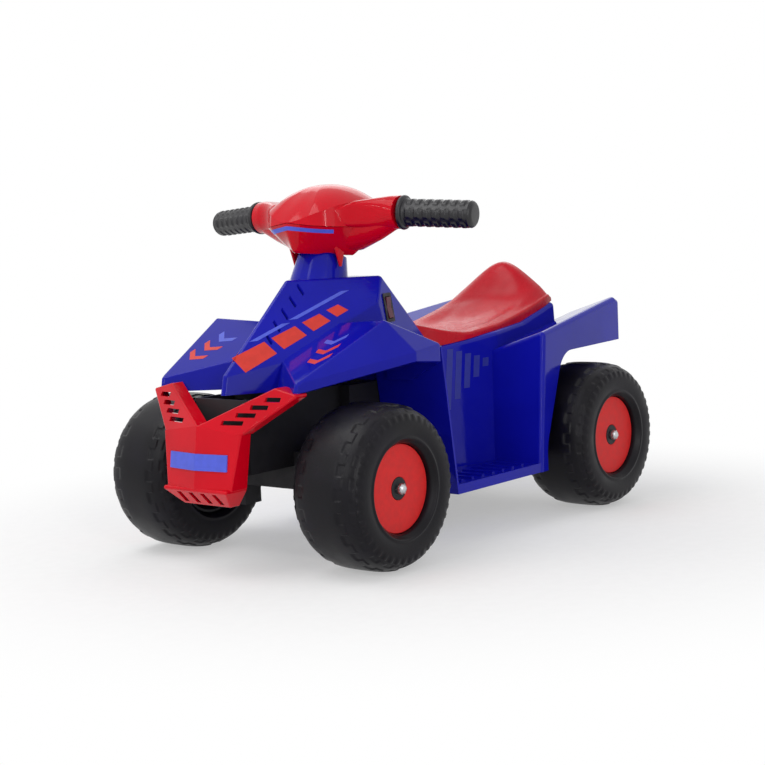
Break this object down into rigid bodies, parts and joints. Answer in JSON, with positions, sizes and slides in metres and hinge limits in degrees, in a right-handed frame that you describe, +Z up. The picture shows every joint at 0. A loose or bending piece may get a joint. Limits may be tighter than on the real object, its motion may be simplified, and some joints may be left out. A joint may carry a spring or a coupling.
{
  "type": "child's electric quad bike",
  "caption": "Battery ride-on quad bike for a small child: blue moulded body, red seat, bumper and handlebar cover, steered front wheels and geared rear drive.",
  "frame": {"origin": "on the ground under the middle of the overall box", "axes": "+X forward towards the bumper, +Y to the rider's left, +Z up"},
  "size_m": [0.7146, 0.428, 0.449],
  "materials": {
    "body_blue": "gloss",
    "trim_red": "gloss",
    "seat_red": "satin",
    "disc_red": "satin",
    "plate_lilac": "gloss",
    "chassis_black": "matte",
    "tyre_black": "satin",
    "grip_black": "satin",
    "steel": "satin",
    "nylon": "matte",
    "battery_grey": "matte",
    "switch_maroon": "gloss",
    "loom_black": "matte"
  },
  "bodies": {
    "frame": {"body_shell": "body_blue", "chassis_tray": "chassis_black", "seat": "seat_red", "seat_screws": "steel", "front_bumper": "trim_red", "bumper_plate": "plate_lilac", "bumper_screws": "steel", "body_screws": "steel", "kingpins": "steel", "steering_bush_upper": "nylon", "steering_bush_lower": "nylon", "rear_axle": "steel", "rear_axle_nuts": "steel", "gearbox_outer_half": "chassis_black", "gearbox_inner_half": "chassis_black", "motor": "steel", "battery": "battery_grey", "battery_clamp": "chassis_black", "charge_socket": "chassis_black", "wiring_loom": "loom_black", "switch_bezel": "chassis_black"},
    "handlebar": {"steering_shaft": "steel", "handlebar_tube": "steel", "handlebar_cover_upper": "trim_red", "handlebar_cover_lower": "trim_red", "left_grip": "grip_black", "right_grip": "grip_black"},
    "throttle": {"throttle_button": "trim_red"},
    "direction_rocker": {"rocker_switch": "switch_maroon"},
    "left_steering_knuckle": {"left_knuckle": "chassis_black", "left_stub_axle": "steel", "left_axle_nut": "steel"},
    "right_steering_knuckle": {"right_knuckle": "chassis_black", "right_stub_axle": "steel", "right_axle_nut": "steel"},
    "tie_bar": {"tie_rod": "chassis_black"},
    "idler": {"idler_gear": "nylon"},
    "pinion": {"motor_pinion": "nylon"},
    "front_left_wheel": {"front_left_tyre": "tyre_black", "front_left_wheel_core": "chassis_black", "front_left_wheel_disc": "disc_red"},
    "front_right_wheel": {"front_right_tyre": "tyre_black", "front_right_wheel_core": "chassis_black", "front_right_wheel_disc": "disc_red"},
    "rear_left_wheel": {"rear_left_tyre": "tyre_black", "rear_left_wheel_core": "chassis_black", "rear_left_wheel_disc": "disc_red"},
    "rear_right_wheel": {"rear_right_tyre": "tyre_black", "rear_right_wheel_core": "chassis_black", "rear_right_wheel_disc": "disc_red", "drive_gear": "nylon"}
  },
  "joints": [
    {"name": "steering", "type": "hinge", "parent": "frame", "child": "handlebar", "pos_m": [0.1005, 0, 0.411], "axis": [-0.2656, 0, 0.9641], "range_deg": [-18, 18]},
    {"name": "left_kingpin", "type": "hinge", "parent": "frame", "child": "left_steering_knuckle", "pos_m": [0.2175, 0.086, 0.0975], "axis": [0, 0, 1], "range_deg": [-18, 18]},
    {"name": "right_kingpin", "type": "hinge", "parent": "frame", "child": "right_steering_knuckle", "pos_m": [0.2175, -0.086, 0.0975], "axis": [0, 0, 1], "range_deg": [-18, 18]},
    {"name": "tie_bar_pivot", "type": "hinge", "parent": "left_steering_knuckle", "child": "tie_bar", "pos_m": [0.1895, 0.086, 0.079], "axis": [0, 0, 1], "range_deg": [-18, 18]},
    {"name": "throttle_press", "type": "slide", "parent": "handlebar", "child": "throttle", "axis": [1, 0, 0], "range_m": [0, 0.003], "stiffness_N_per_m": 250},
    {"name": "direction_tilt", "type": "hinge", "parent": "frame", "child": "direction_rocker", "pos_m": [0.08522, 0.07404, 0.29357], "axis": [-0.9701, -0.2429, 0], "range_deg": [-10, 10]},
    {"name": "front_left_spin", "type": "hinge", "parent": "left_steering_knuckle", "child": "front_left_wheel", "pos_m": [0.2175, 0.1525, 0.0975], "axis": [0, 1, 0], "continuous": true},
    {"name": "front_right_spin", "type": "hinge", "parent": "right_steering_knuckle", "child": "front_right_wheel", "pos_m": [0.2175, -0.1525, 0.0975], "axis": [0, 1, 0], "continuous": true},
    {"name": "rear_left_spin", "type": "hinge", "parent": "frame", "child": "rear_left_wheel", "pos_m": [-0.2405, 0.1525, 0.0975], "axis": [0, 1, 0], "continuous": true},
    {"name": "rear_right_spin", "type": "hinge", "parent": "frame", "child": "rear_right_wheel", "pos_m": [-0.2405, -0.1525, 0.0975], "axis": [0, 1, 0], "continuous": true},
    {"name": "idler_spin", "type": "hinge", "parent": "frame", "child": "idler", "pos_m": [-0.20667, -0.0765, 0.10981], "axis": [0, 1, 0], "continuous": true},
    {"name": "pinion_spin", "type": "hinge", "parent": "frame", "child": "pinion", "pos_m": [-0.18205, -0.0645, 0.11415], "axis": [0, 1, 0], "continuous": true}
  ],
  "couplings": [
    {"joint": "left_kingpin", "follows": "steering", "ratio": 1},
    {"joint": "right_kingpin", "follows": "steering", "ratio": 1},
    {"joint": "tie_bar_pivot", "follows": "steering", "ratio": -1},
    {"joint": "idler_spin", "follows": "rear_right_spin", "ratio": -3},
    {"joint": "pinion_spin", "follows": "rear_right_spin", "ratio": 12}
  ]
}
